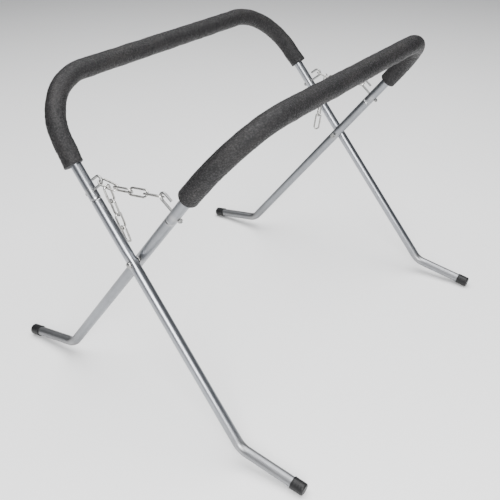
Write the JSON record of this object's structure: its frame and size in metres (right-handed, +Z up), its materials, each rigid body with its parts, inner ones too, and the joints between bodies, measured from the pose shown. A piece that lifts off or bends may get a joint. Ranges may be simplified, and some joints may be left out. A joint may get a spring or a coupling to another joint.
{
  "type": "folding sawhorse",
  "caption": "Folding sawhorse of two crossing round-tube hoops with foam-covered crossbars, splayed feet with end caps, side pivot bolts and restraining chains.",
  "frame": {"origin": "on the floor, under the middle of the pivot axis", "axes": "+X along the pivot axis towards the right side, +Y towards the feet of the outer frame, +Z up"},
  "size_m": [1.0056, 0.936, 0.7838],
  "materials": {
    "bright_zinc": "bright zinc plating",
    "bolt_zinc": "zinc plated hardware",
    "chain_zinc": "zinc plated welded chain",
    "charcoal_foam": "matt foam skin",
    "black_vinyl": "satin vinyl"
  },
  "bodies": {
    "outer_frame": {"outer_hoop": "bright_zinc", "outer_foam": "charcoal_foam", "outer_leg_right": "bright_zinc", "outer_cap_right": "black_vinyl", "outer_hook_right": "bolt_zinc", "outer_hook_nut_right": "bolt_zinc", "pivot_bolt_right": "bolt_zinc", "pivot_washer_right": "bolt_zinc", "pivot_nut_right": "bolt_zinc", "outer_leg_left": "bright_zinc", "outer_cap_left": "black_vinyl", "outer_hook_left": "bolt_zinc", "outer_hook_nut_left": "bolt_zinc", "pivot_bolt_left": "bolt_zinc", "pivot_washer_left": "bolt_zinc", "pivot_nut_left": "bolt_zinc"},
    "inner_frame": {"inner_hoop": "bright_zinc", "inner_foam": "charcoal_foam", "inner_leg_right": "bright_zinc", "inner_cap_right": "black_vinyl", "inner_hook_right": "bolt_zinc", "inner_hook_nut_right": "bolt_zinc", "inner_leg_left": "bright_zinc", "inner_cap_left": "black_vinyl", "inner_hook_left": "bolt_zinc", "inner_hook_nut_left": "bolt_zinc"},
    "chain_right_link_1_body": {"chain_right_link_1": "chain_zinc"},
    "chain_right_link_2_body": {"chain_right_link_2": "chain_zinc"},
    "chain_right_link_4_body": {"chain_right_link_4": "chain_zinc"},
    "chain_right_link_3_body": {"chain_right_link_3": "chain_zinc"},
    "tail_right_link_1_body": {"tail_right_link_1": "chain_zinc"},
    "tail_right_link_2_body": {"tail_right_link_2": "chain_zinc"},
    "tail_right_link_3_body": {"tail_right_link_3": "chain_zinc"},
    "tail_right_link_4_body": {"tail_right_link_4": "chain_zinc"},
    "chain_left_link_1_body": {"chain_left_link_1": "chain_zinc"},
    "chain_left_link_2_body": {"chain_left_link_2": "chain_zinc"},
    "chain_left_link_4_body": {"chain_left_link_4": "chain_zinc"},
    "chain_left_link_3_body": {"chain_left_link_3": "chain_zinc"},
    "tail_left_link_1_body": {"tail_left_link_1": "chain_zinc"},
    "tail_left_link_2_body": {"tail_left_link_2": "chain_zinc"},
    "tail_left_link_3_body": {"tail_left_link_3": "chain_zinc"},
    "tail_left_link_4_body": {"tail_left_link_4": "chain_zinc"}
  },
  "joints": [
    {"name": "fold", "type": "hinge", "parent": "outer_frame", "child": "inner_frame", "pos_m": [0, 0, 0.41639], "axis": [1, 0, 0], "range_deg": [0, 22]},
    {"name": "chain_right_outer_hook", "type": "hinge", "parent": "outer_frame", "child": "chain_right_link_1_body", "pos_m": [0.4628, -0.08463, 0.5911], "axis": [1, 0, 0], "range_deg": [-31.82, 0]},
    {"name": "chain_right_links_1_2", "type": "hinge", "parent": "chain_right_link_1_body", "child": "chain_right_link_2_body", "pos_m": [0.45836, -0.04009, 0.58254], "axis": [1, 0, 0], "range_deg": [0, 26.24]},
    {"name": "chain_right_inner_hook", "type": "hinge", "parent": "inner_frame", "child": "chain_right_link_4_body", "pos_m": [0.44594, 0.08463, 0.59111], "axis": [1, 0, 0], "range_deg": [0, 50.8]},
    {"name": "chain_right_links_2_3", "type": "hinge", "parent": "chain_right_link_2_body", "child": "chain_right_link_3_body", "pos_m": [0.45441, -0.00035, 0.58527], "axis": [1, 0, 0], "range_deg": [0, 32.91]},
    {"name": "tail_right_strand", "type": "hinge", "parent": "chain_right_link_1_body", "child": "tail_right_link_1_body", "pos_m": [0.46911, -0.05729, 0.58836], "axis": [1, 0, 0], "range_deg": [0, 37.83]},
    {"name": "tail_right_links_1_2", "type": "hinge", "parent": "tail_right_link_1_body", "child": "tail_right_link_2_body", "pos_m": [0.45556, -0.05729, 0.54406], "axis": [1, 0, 0], "range_deg": [-3.76, 0]},
    {"name": "tail_right_links_2_3", "type": "hinge", "parent": "tail_right_link_2_body", "child": "tail_right_link_3_body", "pos_m": [0.4457, -0.05729, 0.5118], "axis": [1, 0, 0], "range_deg": [0, 8.47]},
    {"name": "tail_right_links_3_4", "type": "hinge", "parent": "tail_right_link_3_body", "child": "tail_right_link_4_body", "pos_m": [0.43216, -0.05729, 0.4675], "axis": [1, 0, 0], "range_deg": [-9.09, 0]},
    {"name": "chain_left_outer_hook", "type": "hinge", "parent": "outer_frame", "child": "chain_left_link_1_body", "pos_m": [-0.4628, -0.08463, 0.5911], "axis": [1, 0, 0], "range_deg": [-31.82, 0]},
    {"name": "chain_left_links_1_2", "type": "hinge", "parent": "chain_left_link_1_body", "child": "chain_left_link_2_body", "pos_m": [-0.45836, -0.04009, 0.58254], "axis": [1, 0, 0], "range_deg": [0, 26.24]},
    {"name": "chain_left_inner_hook", "type": "hinge", "parent": "inner_frame", "child": "chain_left_link_4_body", "pos_m": [-0.44594, 0.08463, 0.59111], "axis": [1, 0, 0], "range_deg": [0, 50.8]},
    {"name": "chain_left_links_2_3", "type": "hinge", "parent": "chain_left_link_2_body", "child": "chain_left_link_3_body", "pos_m": [-0.45441, -0.00035, 0.58527], "axis": [1, 0, 0], "range_deg": [0, 32.91]},
    {"name": "tail_left_strand", "type": "hinge", "parent": "chain_left_link_1_body", "child": "tail_left_link_1_body", "pos_m": [-0.46911, -0.05729, 0.58836], "axis": [1, 0, 0], "range_deg": [0, 37.83]},
    {"name": "tail_left_links_1_2", "type": "hinge", "parent": "tail_left_link_1_body", "child": "tail_left_link_2_body", "pos_m": [-0.45556, -0.05729, 0.54406], "axis": [1, 0, 0], "range_deg": [-3.76, 0]},
    {"name": "tail_left_links_2_3", "type": "hinge", "parent": "tail_left_link_2_body", "child": "tail_left_link_3_body", "pos_m": [-0.4457, -0.05729, 0.5118], "axis": [1, 0, 0], "range_deg": [0, 8.47]},
    {"name": "tail_left_links_3_4", "type": "hinge", "parent": "tail_left_link_3_body", "child": "tail_left_link_4_body", "pos_m": [-0.43216, -0.05729, 0.4675], "axis": [1, 0, 0], "range_deg": [-9.09, 0]}
  ],
  "couplings": [
    {"joint": "chain_right_outer_hook", "follows": "fold", "ratio": -1.4238},
    {"joint": "chain_right_links_1_2", "follows": "fold", "ratio": 1.1702},
    {"joint": "chain_right_inner_hook", "follows": "fold", "ratio": 2.2863},
    {"joint": "chain_right_links_2_3", "follows": "fold", "ratio": 1.4733},
    {"joint": "tail_right_strand", "follows": "fold", "ratio": 1.6969},
    {"joint": "tail_right_links_1_2", "follows": "fold", "ratio": -0.1482},
    {"joint": "tail_right_links_2_3", "follows": "fold", "ratio": 0.3623},
    {"joint": "tail_right_links_3_4", "follows": "fold", "ratio": -0.3906},
    {"joint": "chain_left_outer_hook", "follows": "fold", "ratio": -1.4238},
    {"joint": "chain_left_links_1_2", "follows": "fold", "ratio": 1.1702},
    {"joint": "chain_left_inner_hook", "follows": "fold", "ratio": 2.2863},
    {"joint": "chain_left_links_2_3", "follows": "fold", "ratio": 1.4733},
    {"joint": "tail_left_strand", "follows": "fold", "ratio": 1.6969},
    {"joint": "tail_left_links_1_2", "follows": "fold", "ratio": -0.1482},
    {"joint": "tail_left_links_2_3", "follows": "fold", "ratio": 0.3623},
    {"joint": "tail_left_links_3_4", "follows": "fold", "ratio": -0.3906}
  ]
}
